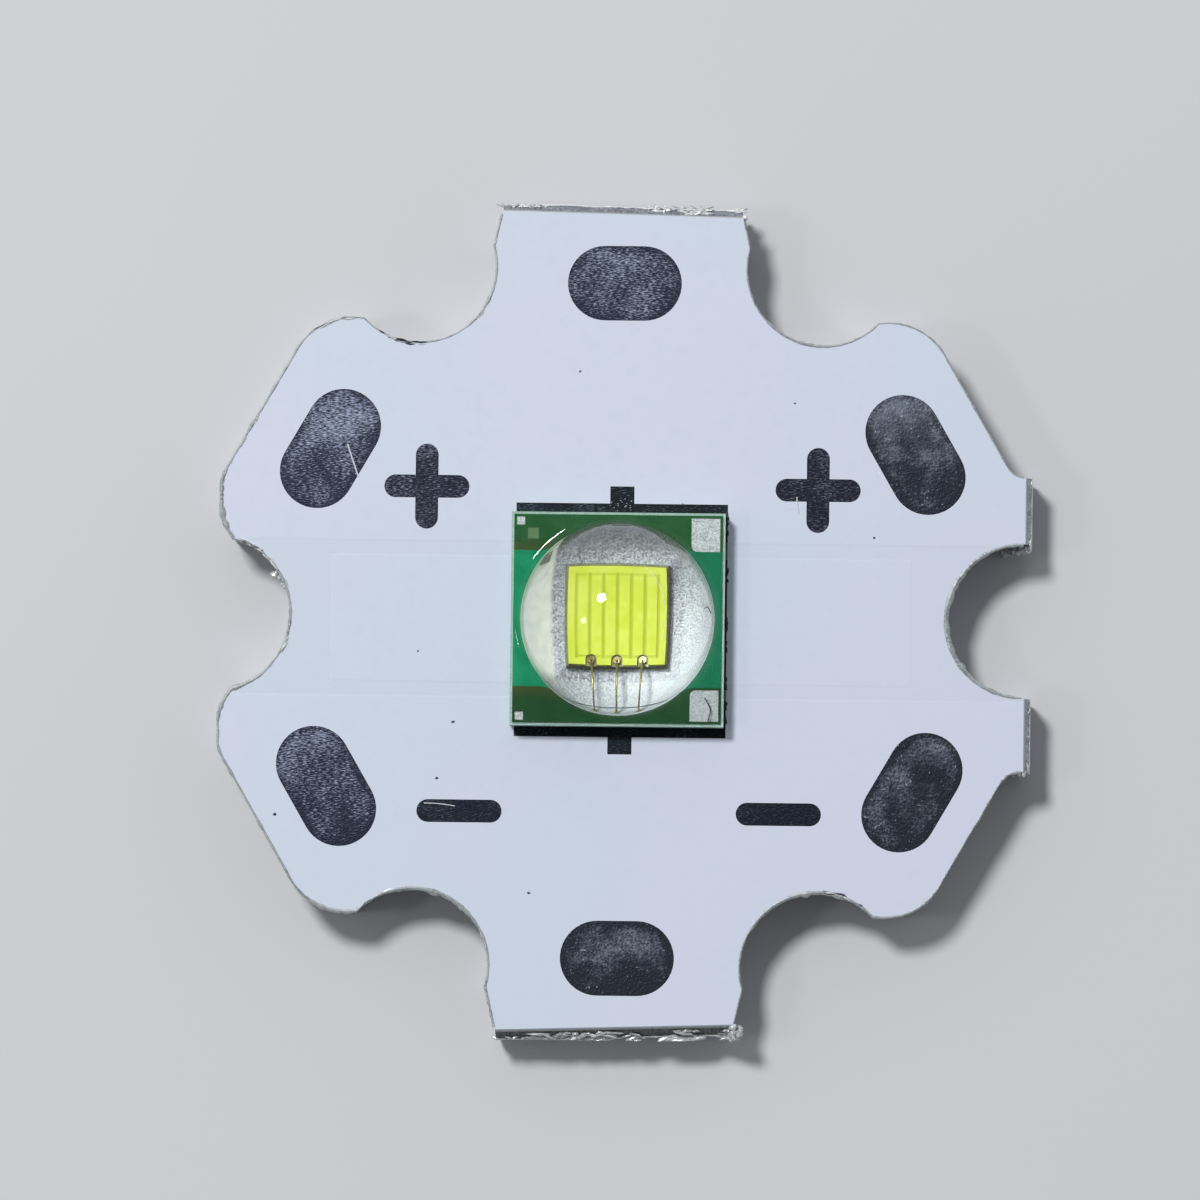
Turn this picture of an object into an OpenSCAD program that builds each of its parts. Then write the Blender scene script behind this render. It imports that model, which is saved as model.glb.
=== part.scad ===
// Star-shaped metal-core board with one domed power LED soldered at its centre.
// Millimetres. The origin is on the underside of the board, below the middle of the printed face,
// with +Z up through the dome and +Y towards the positive side.

/* [Star board] */
// Distance across the flats of the six arms
across_flats = 19.2; // [18.8:0.1:19.8]
// Distance of the centres of the screw notches inside the circle that touches the flats
notch_inset = 0.2; // [0:0.05:0.4]
// Diameter of each screw notch
notch_d = 3.6; // [3.2:0.1:3.8]
// Radius of the rounded lobe beside a notch
lobe_r = 1.5; // [1.4:0.05:1.6]
// How far a lobe's round runs into its notch, which leaves a blunt corner there
lobe_bite = 0.17; // [0.1:0.01:0.2]
// Thickness of the aluminium core
core_t = 1.5; // [1.2:0.1:2]
// Thickness of the insulating layer on the core
dielectric_t = 0.08; // [0.05:0.01:0.15]
// Thickness of the copper foil
copper_t = 0.035; // [0.03:0.005:0.07]
// Thickness of the white solder mask above the copper
mask_t = 0.03; // [0.025:0.005:0.05]
// Distance that the copper keeps from the edge of the board
copper_margin = 0.5; // [0.3:0.05:0.7]
// Sideways error of the punched outline against the printed face
punch_x = -0.07; // [-0.1:0.01:0.1]
// Up and down error of the punched outline against the printed face
punch_y = 0.08; // [-0.1:0.01:0.1]

/* [Snapped edges] */
// Distance of the scored lines at the top and bottom inside the flats, on the face
score_inset = 0.15; // [0.05:0.01:0.3]
// Distance of the scored line at the right inside the flats, on the face
side_score_inset = 0.22; // [0.1:0.01:0.3]
// Slant of the scored line at the top, in degrees
top_slant = -1.2; // [-2:0.1:2]
// Slant of the scored line at the bottom, in degrees
bottom_slant = 1.8; // [-2:0.1:2]
// Depth of the score in each face at the top and bottom
score_depth = 0.55; // [0.4:0.05:0.6]
// Depth of the score in each face at the right
side_score_depth = 0.4; // [0.3:0.05:0.6]
// Angle between a flank of the score and the vertical
score_flank_angle = 22.5; // [15:0.5:30]
// How far the sides of the top and bottom tabs run into the notches
tab_bite = 0.18; // [0.1:0.01:0.25]
// How far the sides of the top and bottom tabs lean in up to the scored line
tab_taper = 0.3; // [0.2:0.02:0.5]
// Width of the tabs at the right, beside their notch
side_tab_w = 1.62; // [1.5:0.02:1.8]
// Radius of the hollow corner beside each tab at the right
side_tab_fillet = 0.5; // [0.3:0.05:0.6]

/* [Solder pads] */
// Distance of the middle of the six solder pads inside the flats
pad_inset = 1.74; // [1.65:0.01:1.9]
// Width of every solder pad
pad_w = 1.74; // [1.5:0.02:1.9]
// Length of the four pads that carry a polarity mark
marked_pad_length = 2.95; // [2.6:0.05:3.1]
// Length of the pads on the top and bottom tabs
tab_pad_length = 2.65; // [2.4:0.05:3]
// Thickness of the tin finish on bare copper
tin_t = 0.015; // [0.005:0.005:0.02]
// Gap between the tin finish and the edge of the mask
tin_gap = 0.01; // [0.01:0.005:0.02]

/* [Polarity marks] */
// Length of the strokes of the marks
mark_length = 1.98; // [1.6:0.02:2.1]
// Width of the strokes of the marks
mark_w = 0.53; // [0.4:0.01:0.6]
// Distance of the plus marks from the middle of their pads, towards the emitter
plus_inset = 2.38; // [2.3:0.02:2.5]
// Distance of the plus marks from the middle line of their arms
plus_shift = 0.39; // [0.2:0.01:0.5]
// Distance of the minus marks from the middle of their pads, towards the emitter
minus_inset = 2.41; // [2.3:0.01:2.6]
// Distance of the minus marks from the middle line of their arms
minus_shift = 2.02; // [1.8:0.02:2.2]

/* [Emitter footprint] */
// Distance that the bare strips reach past the emitter at its top and bottom
strip_reach = 0.24; // [0.15:0.01:0.3]
// Distance that the mask runs in under the left and right sides of the emitter
mask_underlap = 0.02; // [0.01:0.01:0.06]
// Width of the small tongue on each bare strip
tongue_w = 0.56; // [0.4:0.02:0.8]
// Length of the small tongue on each bare strip
tongue_length = 0.4; // [0.3:0.02:0.6]
// Distance of the copper that spreads the heat from the left and right notches
spreader_gap = 0.9; // [0.6:0.05:1.5]
// Distance that the copper reaches past the solder lands
land_border = 0.05; // [0.03:0.01:0.08]
// Thickness of the solder under the emitter
solder_t = 0.075; // [0.05:0.005:0.1]

/* [Emitter package] */
// Side of the square package
package_w = 4.96; // [4.9:0.02:5.1]
// Sideways error in the placing of the package
package_x = -0.07; // [-0.1:0.01:0.1]
// Up and down error in the placing of the package
package_y = -0.01; // [-0.05:0.01:0.05]
// Thickness of the ceramic body
ceramic_t = 0.6; // [0.4:0.05:0.8]
// Distance of the solder lands from the edge of the package
land_margin = 0.09; // [0.07:0.01:0.15]
// Width of the positive and negative lands
electrode_land_w = 0.5; // [0.4:0.02:0.6]
// Gap between the heat land and its neighbours
land_gap = 0.5; // [0.4:0.02:0.6]
// Thickness of the lands under the ceramic
land_t = 0.03; // [0.02:0.005:0.05]
// Thickness of the metal on top of the ceramic
metal_t = 0.04; // [0.02:0.005:0.06]
// Width of the metal bands along the top and bottom of the package
band_w = 0.78; // [0.7:0.02:0.85]
// Distance of the bands from the edge of the package
band_margin = 0.12; // [0.1:0.01:0.18]
// Gap between the negative band and the metal that carries the chip
band_gap = 0.05; // [0.04:0.01:0.08]
// Number of posts that join each band to its land
via_count = 4; // [2:1:5]
// Diameter of the posts
via_d = 0.2; // [0.15:0.01:0.25]
// Distance between the posts
via_spacing = 1.1; // [0.6:0.05:1.1]
// Thickness of the green mask above the metal
green_t = 0.02; // [0.015:0.005:0.03]
// Width of bare ceramic around the green mask
green_margin = 0.06; // [0.04:0.01:0.1]
// Width of the bare metal windows in the right corners
corner_w = 0.67; // [0.5:0.01:0.7]
// Radius of the inner corner of those windows
corner_r = 0.12; // [0.1:0.01:0.15]
// Side of the small bare squares in the left corners
index_w = 0.19; // [0.15:0.01:0.22]
// Side of the hole in the metal band that marks the first corner
first_mark_w = 0.25; // [0.2:0.01:0.3]
// Distance of that hole from the edges of the band
first_mark_inset = 0.26; // [0.22:0.01:0.35]

/* [Chip] */
// Side of the chip
die_w = 1.68; // [1.4:0.02:1.8]
// Thickness of the chip
die_t = 0.15; // [0.1:0.01:0.2]
// Distance of the middle of the chip above the middle of the package
die_y = 0.04; // [0:0.01:0.06]
// Side of the solder below the chip
attach_w = 2.2; // [2:0.05:2.4]
// Thickness of the solder below the chip
attach_t = 0.02; // [0.01:0.005:0.04]
// Thickness of the yellow phosphor coat
phosphor_t = 0.05; // [0.04:0.005:0.08]
// Distance of the phosphor from the edge of the chip
phosphor_margin = 0.02; // [0.01:0.005:0.04]
// Number of upright grooves in the phosphor
groove_count = 7; // [5:1:9]
// Width of the grooves in the phosphor
groove_w = 0.045; // [0.02:0.005:0.06]
// Depth of the grooves in the phosphor
groove_depth = 0.012; // [0.006:0.002:0.02]
// Distance of the outer grooves from the edge of the chip
groove_inset = 0.16; // [0.14:0.01:0.2]
// Gap between the phosphor and the balls of the wires
bond_clearance = 0.035; // [0.025:0.005:0.05]
// Side of the small protection chip
guard_w = 0.26; // [0.2:0.02:0.3]
// Thickness of the small protection chip
guard_t = 0.1; // [0.08:0.01:0.14]
// Gap between the protection chip and the solder below the main chip
guard_gap = 0.11; // [0.05:0.01:0.15]
// Distance of the protection chip above the middle
guard_y = 1.12; // [1.05:0.02:1.2]

/* [Bond wires] */
// Diameter of the gold wires
wire_d = 0.036; // [0.026:0.002:0.04]
// Distance between neighbouring wires
wire_spacing = 0.43; // [0.38:0.01:0.46]
// Distance of the upper bonds from the edge of the chip
bond_inset = 0.11; // [0.1:0.01:0.13]
// Diameter of the ball on the chip
ball_d = 0.12; // [0.1:0.01:0.14]
// Height of the ball on the chip
ball_h = 0.05; // [0.04:0.005:0.06]
// Diameter of the foot on the negative band
foot_d = 0.1; // [0.08:0.01:0.12]
// Height of the foot on the negative band
foot_h = 0.06; // [0.05:0.005:0.08]
// Distance of the feet past the gap beside the negative band
foot_inset = 0.15; // [0.1:0.01:0.18]
// Rise of the wires above the straight line between their ends
wire_rise = 0.3; // [0.2:0.02:0.4]

/* [Lens] */
// Width of flat package beside the silicone dome
lens_margin = 0.24; // [0.23:0.01:0.35]
// Thickness of the silicone sheet around the dome
sheet_t = 0.08; // [0.05:0.01:0.12]
// Distance of the silicone sheet from the edge of the ceramic
sheet_inset = 0.01; // [0.01:0.01:0.03]
// Height of the centre of the dome's ball above the green mask
lens_lift = 0.05; // [0:0.01:0.08]
// Radius of the hollow round at the foot of the dome
lens_fillet = 0.18; // [0.1:0.02:0.2]
// Width of green mask that the dome covers around the round window
window_margin = 0.09; // [0.06:0.01:0.12]

/* [Hidden] */
$fn = 96;
notch_angles = [0 : 60 : 300];
// Turn between the corners of a drawn arc, in degrees
arc_step = 10;
// Depth to which joined shapes run into each other
sink = 0.01;
// Distance that cutting shapes run past the surface that they cut
past = 1;

// Levels through the board, from the underside up
dielectric_top = core_t + dielectric_t;
copper_top = dielectric_top + copper_t;
board_top = copper_top + mask_t;

// Levels through the package
land_bottom = copper_top + solder_t;
ceramic_bottom = land_bottom + land_t;
ceramic_top = ceramic_bottom + ceramic_t;
metal_top = ceramic_top + metal_t;
green_top = metal_top + green_t;
die_bottom = metal_top + attach_t;
die_top = die_bottom + die_t;
phosphor_top = die_top + phosphor_t;
sheet_top = green_top + sheet_t;
lens_centre = green_top + lens_lift;

// Plan of the star
apothem = across_flats / 2;
notch_circle_d = across_flats - 2 * notch_inset;
notch_r = notch_d / 2;
notch_n = notch_circle_d / 2 * cos(30);
notch_t = notch_circle_d / 2 * sin(30);
lobe_n = apothem - lobe_r + sink;
lobe_t = notch_t - sqrt(pow(notch_r + lobe_r - lobe_bite, 2) - pow(lobe_n - notch_n, 2));
tab_root = notch_t - notch_r + tab_bite;
side_tab_y = notch_r + side_tab_w;
score_y = apothem - score_inset;
score_x = apothem - side_score_inset;
flank_w = score_depth * tan(score_flank_angle);
side_flank_w = side_score_depth * tan(score_flank_angle);
pad_circle_d = across_flats - 2 * pad_inset;
spreader_length = notch_circle_d - notch_d - 2 * spreader_gap;
// A length that clears the board from its middle in every direction
board_reach = across_flats;

// Plan of the footprint and of the package
strip_y = package_w / 2 + strip_reach;
opening_half_w = package_w / 2 - mask_underlap;
land_length = package_w - 2 * land_margin;
electrode_outer = package_w / 2 - land_margin;
electrode_inner = electrode_outer - electrode_land_w;
heat_land_w = 2 * (electrode_inner - land_gap);
band_outer = package_w / 2 - band_margin;
band_inner = band_outer - band_w;
green_half = package_w / 2 - green_margin;
lens_d = package_w - 2 * lens_margin;
window_r = lens_d / 2 - window_margin;
bond_y = die_y - die_w / 2 + bond_inset;
foot_y = -band_inner - band_gap - foot_inset;
via_y = (max(band_inner, electrode_inner) + min(band_outer, electrode_outer)) / 2;
guard_x = attach_w / 2 + guard_gap + guard_w / 2;
bond_window_d = ball_d + 2 * bond_clearance;

// The arc of a wire in its upright plane, from the ball down to the foot
wire_start = [bond_y, die_top + ball_h / 2];
wire_end = [foot_y, metal_top + foot_h / 2];
wire_span = norm(wire_end - wire_start);
wire_r = (pow(wire_span / 2, 2) + pow(wire_rise, 2)) / (2 * wire_rise);
wire_up = [wire_end.y - wire_start.y, wire_start.x - wire_end.x] / wire_span;
wire_hub = (wire_start + wire_end) / 2 - wire_up * (wire_r - wire_rise);
wire_from = atan2(wire_start.y - wire_hub.y, wire_start.x - wire_hub.x);
wire_to = atan2(wire_end.y - wire_hub.y, wire_end.x - wire_hub.x);

MARKED_PADS = [
    ["upper_left_pad", 150],
    ["upper_right_pad", 30],
    ["lower_left_pad", 210],
    ["lower_right_pad", 330],
];
TAB_PADS = [["top_pad", 90], ["bottom_pad", 270]];
plus_place = arm_point(30, pad_circle_d / 2 - plus_inset, plus_shift);
minus_place = arm_point(330, pad_circle_d / 2 - minus_inset, -minus_shift);
MARKS = [
    ["plus_mark_left", [-plus_place.x, plus_place.y], true],
    ["plus_mark_right", plus_place, true],
    ["minus_mark_left", [-minus_place.x, minus_place.y], false],
    ["minus_mark_right", minus_place, false],
];
WIRES = [["bond_wire_left", -1], ["bond_wire_middle", 0], ["bond_wire_right", 1]];
POLES = [["positive", 1], ["negative", -1]];

// A point of an arm, from its distances along and across the arm
function arm_point(angle, along, across) =
    [along * cos(angle) - across * sin(angle), along * sin(angle) + across * cos(angle)];

function notch_point(angle) = notch_circle_d / 2 * [cos(angle), sin(angle)];

// A plate between two levels, from a plan
module layer(bottom, top) {
    translate([0, 0, bottom]) linear_extrude(top - bottom) children();
}

// A bar with round ends
module slot_2d(length, width) {
    square([length - width, width], center = true);
    for (side = [-1, 1]) translate([side * (length - width) / 2, 0]) circle(d = width);
}

module lobe_2d(angle, side, inset) {
    translate(arm_point(angle, lobe_n, side * lobe_t)) circle(lobe_r - inset);
}

// Left arms, with a round lobe beside both notches
module lobed_arm_2d(angle, inset) {
    polygon([
        [0, 0],
        notch_point(angle - 30),
        arm_point(angle, lobe_n, -lobe_t),
        arm_point(angle, apothem - inset, -lobe_t),
        arm_point(angle, apothem - inset, lobe_t),
        arm_point(angle, lobe_n, lobe_t),
        notch_point(angle + 30),
    ]);
    for (side = [-1, 1]) lobe_2d(angle, side, inset);
}

// Top and bottom arms, whose straight sides run on to the scored line
module tab_arm_2d(angle, inset) {
    tip_n = score_y + flank_w + past;
    tip_t = tab_root - tab_taper * (tip_n - notch_n) / (score_y - notch_n);
    polygon([
        [0, 0],
        notch_point(angle - 30),
        arm_point(angle, notch_n, inset - tab_root),
        arm_point(angle, tip_n, inset - tip_t),
        arm_point(angle, tip_n, tip_t - inset),
        arm_point(angle, notch_n, tab_root - inset),
        notch_point(angle + 30),
    ]);
}

// Upper right arm, with a lobe above and a tab to the scored line below
module side_arm_2d(inset, tab_y) {
    angle = 30;
    hollow_y = tab_y + side_tab_fillet;
    hollow = [(apothem + side_tab_fillet - hollow_y * sin(angle)) / cos(angle), hollow_y];
    hollow_r = side_tab_fillet + inset;
    polygon(concat(
        [[0, 0], notch_point(0), [board_reach, 0], [board_reach, tab_y - inset]],
        [for (turn = [270 : -arc_step : 180 + angle]) hollow + hollow_r * [cos(turn), sin(turn)]],
        [
            arm_point(angle, apothem - inset, lobe_t),
            arm_point(angle, lobe_n, lobe_t),
            notch_point(angle + 30),
        ]
    ));
    lobe_2d(angle, 1, inset);
}

// The part of the plane inside the three scored lines, moved outward by given distances
module inside_scores_2d(grow, side_grow) {
    right = score_x + side_grow;
    left = -board_reach;
    high = score_y + grow / cos(top_slant);
    low = -score_y - grow / cos(bottom_slant);
    polygon([
        [left, left * tan(bottom_slant) + low],
        [right, right * tan(bottom_slant) + low],
        [right, right * tan(top_slant) + high],
        [left, left * tan(top_slant) + high],
    ]);
}

// Plan of the star, drawn in from its edges by a distance
module star_2d(inset, grow, side_grow) {
    intersection() {
        translate([punch_x, punch_y]) difference() {
            union() {
                for (angle = [150, 210]) lobed_arm_2d(angle, inset);
                for (angle = [90, 270]) tab_arm_2d(angle, inset);
                side_arm_2d(inset, side_tab_y - punch_y);
                mirror([0, 1]) side_arm_2d(inset, side_tab_y + punch_y);
            }
            for (angle = notch_angles) translate(notch_point(angle)) circle(notch_r + inset);
        }
        inside_scores_2d(grow, side_grow);
    }
}

// Wedge that a score takes out of one face, along a line at a distance from the centre
module score_cut(distance, depth, slant) {
    slope = tan(score_flank_angle);
    foot = depth + sink;
    translate([0, distance, 0]) rotate([0, 0, slant]) rotate([90, 0, 90])
        linear_extrude(2 * board_reach, center = true)
            polygon([
                [-past * slope, past],
                [foot * slope, -foot],
                [foot * slope + past, -foot],
                [foot * slope + past, past],
            ]);
}

// The wedges along all three scored lines of one face
module face_scores() {
    score_cut(score_y, score_depth, top_slant);
    mirror([0, 1, 0]) score_cut(score_y, score_depth, -bottom_slant);
    rotate([0, 0, -90]) score_cut(score_x, side_score_depth, 0);
}

module scored_layer(bottom, top) {
    difference() {
        layer(bottom, top) star_2d(0, flank_w, side_flank_w);
        translate([0, 0, board_top]) face_scores();
        mirror([0, 0, 1]) face_scores();
    }
}

module pole_copper_2d(side) {
    edge = electrode_inner - land_border;
    intersection() {
        star_2d(copper_margin, -copper_margin, -copper_margin);
        mirror([0, side < 0 ? 1 : 0]) translate([-board_reach, edge])
            square([2 * board_reach, board_reach]);
    }
}

module spreader_2d() {
    square([spreader_length, heat_land_w + 2 * land_border], center = true);
}

module pad_2d(angle, length, shrink) {
    rotate(angle - 90) translate([0, pad_circle_d / 2])
        slot_2d(length - 2 * shrink, pad_w - 2 * shrink);
}

module mark_2d(mark, shrink) {
    translate(mark[1]) {
        slot_2d(mark_length - 2 * shrink, mark_w - 2 * shrink);
        if (mark[2]) rotate(90) slot_2d(mark_length - 2 * shrink, mark_w - 2 * shrink);
    }
}

// The bare strip above or below the emitter, with its tongue, from a level line outward
module strip_2d(side, start, shrink) {
    half = opening_half_w - shrink;
    end = strip_y - shrink;
    mirror([0, side < 0 ? 1 : 0]) {
        translate([-half, start]) square([2 * half, end - start]);
        translate([shrink - tongue_w / 2, start])
            square([tongue_w - 2 * shrink, end + tongue_length - start]);
    }
}

module openings_2d() {
    for (pad = MARKED_PADS) pad_2d(pad[1], marked_pad_length, 0);
    for (pad = TAB_PADS) pad_2d(pad[1], tab_pad_length, 0);
    for (mark = MARKS) mark_2d(mark, 0);
    for (side = [-1, 1]) strip_2d(side, 0, 0);
}

module core_plate() {
    color("silver") scored_layer(0, core_t);
}

module dielectric_layer() {
    color("darkseagreen") scored_layer(core_t, dielectric_top);
}

module pole_copper(side) {
    color("peru") layer(dielectric_top, copper_top) pole_copper_2d(side);
}

module heat_spreader_copper() {
    color("peru") layer(dielectric_top, copper_top) spreader_2d();
}

module solder_mask() {
    color("whitesmoke") difference() {
        scored_layer(dielectric_top, board_top);
        for (side = [-1, 1]) layer(core_t, copper_top) pole_copper_2d(side);
        layer(core_t, copper_top) spreader_2d();
        layer(core_t, board_top + past) openings_2d();
    }
}

module tinned_pad(angle, length) {
    color("dimgray") layer(copper_top, copper_top + tin_t) pad_2d(angle, length, tin_gap);
}

module tinned_mark(mark) {
    color("dimgray") layer(copper_top, copper_top + tin_t) mark_2d(mark, tin_gap);
}

module strip_tin(side) {
    start = electrode_outer + side * package_y + tin_gap;
    color("dimgray") layer(copper_top, copper_top + tin_t) strip_2d(side, start, tin_gap);
}

// Plan of a land, which its solder shares
module electrode_land_2d(side) {
    translate([package_x, package_y + side * (electrode_outer - electrode_land_w / 2)])
        square([land_length, electrode_land_w], center = true);
}

module heat_land_2d() {
    translate([package_x, package_y]) square([land_length, heat_land_w], center = true);
}

// Solder fills the gap below a land, as far as the opening in the mask lets it
module solder() {
    color("lightgray") layer(copper_top, land_bottom) intersection() {
        children();
        square(2 * [opening_half_w - tin_gap, strip_y], center = true);
    }
}

module electrode_solder(side) {
    solder() electrode_land_2d(side);
}

module heat_solder() {
    solder() heat_land_2d();
}

module electrode_land(side) {
    color("gold") layer(land_bottom, ceramic_bottom) electrode_land_2d(side);
}

module heat_land() {
    color("gold") layer(land_bottom, ceramic_bottom) heat_land_2d();
}

// Posts where a band lies over its land
module electrode_vias(side) {
    first = -(via_count - 1) / 2;
    color("peru") translate([package_x, package_y + side * via_y, ceramic_bottom])
        for (place = [first : -first]) translate([place * via_spacing, 0]) cylinder(ceramic_t, d = via_d);
}

module ceramic_body() {
    color("white") difference() {
        translate([package_x, package_y, ceramic_bottom])
            linear_extrude(ceramic_t) square(package_w, center = true);
        for (side = [-1, 1]) electrode_vias(side);
    }
}

// Metal below the chip, joined to the positive band
module chip_metal_2d() {
    difference() {
        union() {
            translate([-band_outer, band_inner]) square([2 * band_outer, band_w]);
            intersection() {
                circle(window_r + window_margin / 2);
                translate([-band_outer, -band_inner]) square([2 * band_outer, band_inner + band_outer]);
            }
        }
        translate([-band_outer, band_outer] + [1, -1] * (first_mark_inset + first_mark_w / 2))
            square(first_mark_w, center = true);
    }
}

module negative_band_2d() {
    translate([-band_outer, -band_outer]) square([2 * band_outer, band_w - band_gap]);
}

module on_package(bottom, top) {
    translate([package_x, package_y, 0]) layer(bottom, top) children();
}

module chip_metal() {
    color("gainsboro") on_package(ceramic_top, metal_top) chip_metal_2d();
}

module negative_band() {
    color("gainsboro") on_package(ceramic_top, metal_top) negative_band_2d();
}

// Bare metal window in a right corner, as high as its band, with its inner corner rounded
module corner_window_2d(side) {
    height = side < 0 ? band_w - band_gap : band_w;
    inner = [band_outer - corner_w, band_outer - height];
    mirror([0, side < 0 ? 1 : 0]) {
        translate([inner.x + corner_r, inner.y]) square([corner_w - corner_r, height]);
        translate([inner.x, inner.y + corner_r]) square([corner_w, height - corner_r]);
        translate(inner + [corner_r, corner_r]) circle(corner_r);
    }
}

module index_window_2d(side) {
    translate([-band_outer, side > 0 ? band_outer - index_w : -band_outer]) square(index_w);
}

module green_mask() {
    color("seagreen") difference() {
        on_package(ceramic_top, green_top) square(2 * green_half, center = true);
        on_package(ceramic_bottom, metal_top) {
            chip_metal_2d();
            negative_band_2d();
        }
        on_package(ceramic_bottom, green_top + past) {
            circle(window_r);
            for (side = [-1, 1]) {
                corner_window_2d(side);
                index_window_2d(side);
            }
        }
    }
}

module die_attach() {
    color("slategray") on_package(metal_top, die_bottom)
        translate([0, die_y]) square(attach_w, center = true);
}

module led_die() {
    color("darkkhaki") on_package(die_bottom, die_top)
        translate([0, die_y]) square(die_w, center = true);
}

// Plan of the openings in the phosphor, which are open towards the wires
module bond_windows_2d() {
    for (wire = WIRES) translate([wire[1] * wire_spacing, bond_y]) {
        circle(d = bond_window_d);
        translate([-bond_window_d / 2, -die_w]) square([bond_window_d, die_w]);
    }
}

module phosphor_coat() {
    half = die_w / 2 - phosphor_margin;
    field = die_w - 2 * groove_inset;
    color("greenyellow") difference() {
        on_package(die_top, phosphor_top) translate([0, die_y]) square(2 * half, center = true);
        on_package(die_bottom, phosphor_top + past) bond_windows_2d();
        on_package(phosphor_top - groove_depth, phosphor_top + past) translate([0, die_y]) {
            for (place = [0 : groove_count - 1])
                translate([(place / (groove_count - 1) - 0.5) * field, 0])
                    square([groove_w, field + groove_w], center = true);
            for (side = [-1, 1])
                translate([0, side * field / 2]) square([field, groove_w], center = true);
        }
    }
}

module protection_chip() {
    color("dimgray") on_package(metal_top, metal_top + guard_t)
        translate([-guard_x, guard_y]) square(guard_w, center = true);
}

// A wire with the ball at its upper end and the foot at its lower end
module bond_wire(place) {
    color("goldenrod") translate([package_x + place * wire_spacing, package_y, 0]) {
        translate([0, bond_y, die_top]) cylinder(ball_h, d = ball_d);
        translate([0, foot_y, metal_top]) cylinder(foot_h, d = foot_d);
        translate([0, wire_hub.x, wire_hub.y]) rotate([90, 0, 90]) rotate([0, 0, wire_from])
            rotate_extrude(angle = wire_to - wire_from) translate([wire_r, 0]) circle(d = wire_d);
    }
}

// Half section of the dome, with a hollow round at its foot that meets the ball and the sheet smoothly
module lens_section_2d() {
    lens_r = lens_d / 2;
    rise = sheet_top + lens_fillet - lens_centre;
    run = sqrt(pow(lens_r + lens_fillet, 2) - pow(rise, 2));
    meet_y = lens_centre + rise * lens_r / (lens_r + lens_fillet);
    intersection() {
        union() {
            translate([0, lens_centre]) circle(lens_r);
            difference() {
                translate([0, sheet_top - sink]) square([run, meet_y + sink - sheet_top]);
                translate([run, sheet_top + lens_fillet]) circle(lens_fillet);
            }
        }
        translate([0, sheet_top - sink]) square([package_w, lens_d]);
    }
}

module dome_lens() {
    color("honeydew", 0.4) difference() {
        union() {
            translate([package_x, package_y, 0]) rotate_extrude() lens_section_2d();
            on_package(green_top, sheet_top) square(package_w - 2 * sheet_inset, center = true);
            on_package(metal_top, green_top + sink) circle(window_r);
        }
        die_attach();
        led_die();
        phosphor_coat();
        protection_chip();
        for (wire = WIRES) bond_wire(wire[1]);
    }
}

core_plate();
dielectric_layer();
heat_spreader_copper();
solder_mask();
for (pole = POLES) {
    pole_copper(pole[1]);
    strip_tin(pole[1]);
    electrode_solder(pole[1]);
    electrode_land(pole[1]);
    electrode_vias(pole[1]);
}
for (pad = MARKED_PADS)
    tinned_pad(pad[1], marked_pad_length);
for (pad = TAB_PADS)
    tinned_pad(pad[1], tab_pad_length);
for (mark = MARKS)
    tinned_mark(mark);
heat_solder();
heat_land();
ceramic_body();
chip_metal();
negative_band();
green_mask();
die_attach();
led_die();
phosphor_coat();
protection_chip();
for (wire = WIRES)
    bond_wire(wire[1]);
dome_lens();
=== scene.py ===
"""Dresses the star board power LED for the camera: surfaces, torn edges, dome, dirt, light and floor.

Lengths are in metres, and MM turns millimetres into them. The board lies on the floor with its
printed face up, so that +Y is up in the picture.
"""

import math
import random

import bpy
from mathutils import Matrix, Vector, noise


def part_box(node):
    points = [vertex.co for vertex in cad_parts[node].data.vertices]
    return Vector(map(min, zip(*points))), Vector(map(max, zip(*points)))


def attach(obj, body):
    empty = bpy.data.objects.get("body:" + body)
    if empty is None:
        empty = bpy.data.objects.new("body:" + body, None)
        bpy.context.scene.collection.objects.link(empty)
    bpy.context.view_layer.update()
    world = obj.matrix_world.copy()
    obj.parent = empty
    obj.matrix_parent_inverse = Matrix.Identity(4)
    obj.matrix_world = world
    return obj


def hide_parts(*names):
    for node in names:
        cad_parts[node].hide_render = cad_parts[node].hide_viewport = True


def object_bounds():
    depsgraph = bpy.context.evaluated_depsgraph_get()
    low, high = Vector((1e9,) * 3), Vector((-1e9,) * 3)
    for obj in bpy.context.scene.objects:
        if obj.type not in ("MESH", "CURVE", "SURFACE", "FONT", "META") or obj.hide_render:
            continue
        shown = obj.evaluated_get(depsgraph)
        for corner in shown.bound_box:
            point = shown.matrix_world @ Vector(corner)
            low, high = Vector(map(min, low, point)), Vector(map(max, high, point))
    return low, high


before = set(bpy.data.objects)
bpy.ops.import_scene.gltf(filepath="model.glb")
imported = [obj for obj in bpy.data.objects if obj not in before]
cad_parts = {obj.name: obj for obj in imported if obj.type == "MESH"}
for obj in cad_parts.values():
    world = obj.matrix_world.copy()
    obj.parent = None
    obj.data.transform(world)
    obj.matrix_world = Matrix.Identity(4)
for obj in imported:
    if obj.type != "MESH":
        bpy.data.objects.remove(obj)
cad_low, cad_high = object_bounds()

MM = 0.001
SEED = 20
chance = random.Random(SEED)

# Levels and places taken from the parts themselves
core_low, core_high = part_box("core_plate")
body_low, body_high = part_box("ceramic_body")
solder_low, solder_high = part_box("die_attach")
die_low, die_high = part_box("led_die")
coat_low, coat_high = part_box("phosphor_coat")
board_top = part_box("solder_mask")[1].z
green_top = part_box("green_mask")[1].z
tin_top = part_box("upper_left_pad")[1].z
package = (body_low + body_high) / 2
package_half = (body_high.x - body_low.x) / 2

# The scores along the snapped edges: at the top and bottom, and at the right
SCORE_DEPTH = 0.55 * MM
SIDE_SCORE_DEPTH = 0.4 * MM
FLANK_SLOPE = math.tan(math.radians(22.5))

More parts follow.
